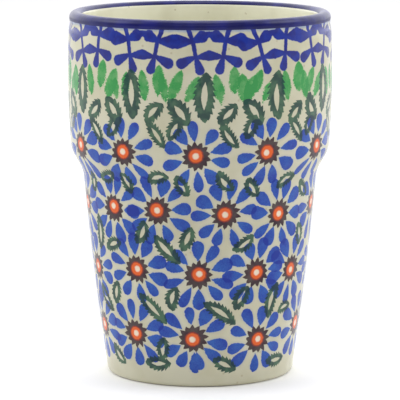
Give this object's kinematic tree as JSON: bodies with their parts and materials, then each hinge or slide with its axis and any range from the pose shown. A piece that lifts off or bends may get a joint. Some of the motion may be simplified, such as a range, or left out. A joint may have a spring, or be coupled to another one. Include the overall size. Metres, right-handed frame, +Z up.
{
  "type": "stoneware mug",
  "caption": "Handleless stoneware mug: straight collar over a stepped shoulder and tapered base, rounded lip, foot ring; glazed in and out with sponge-stamp flowers.",
  "frame": {"origin": "centre of the foot ring on the table", "axes": "+Z up along the mug's axis; -Y is the side seen in front, +X to its right"},
  "size_m": [0.0921, 0.092, 0.127],
  "materials": {
    "raw_stoneware": "unglazed fired clay, rough, fine grit",
    "decorated_glaze": "glossy clear glaze over cream slip with stamped cobalt, green and red-brown flowers",
    "cobalt_glaze": "glossy cobalt blue",
    "cream_glaze": "glossy cream with fine specks"
  },
  "bodies": {
    "root": {"stoneware_body": "raw_stoneware", "outside_glaze": "decorated_glaze", "lip_band": "cobalt_glaze", "inside_glaze": "cream_glaze", "base_glaze": "cream_glaze"}
  },
  "joints": []
}
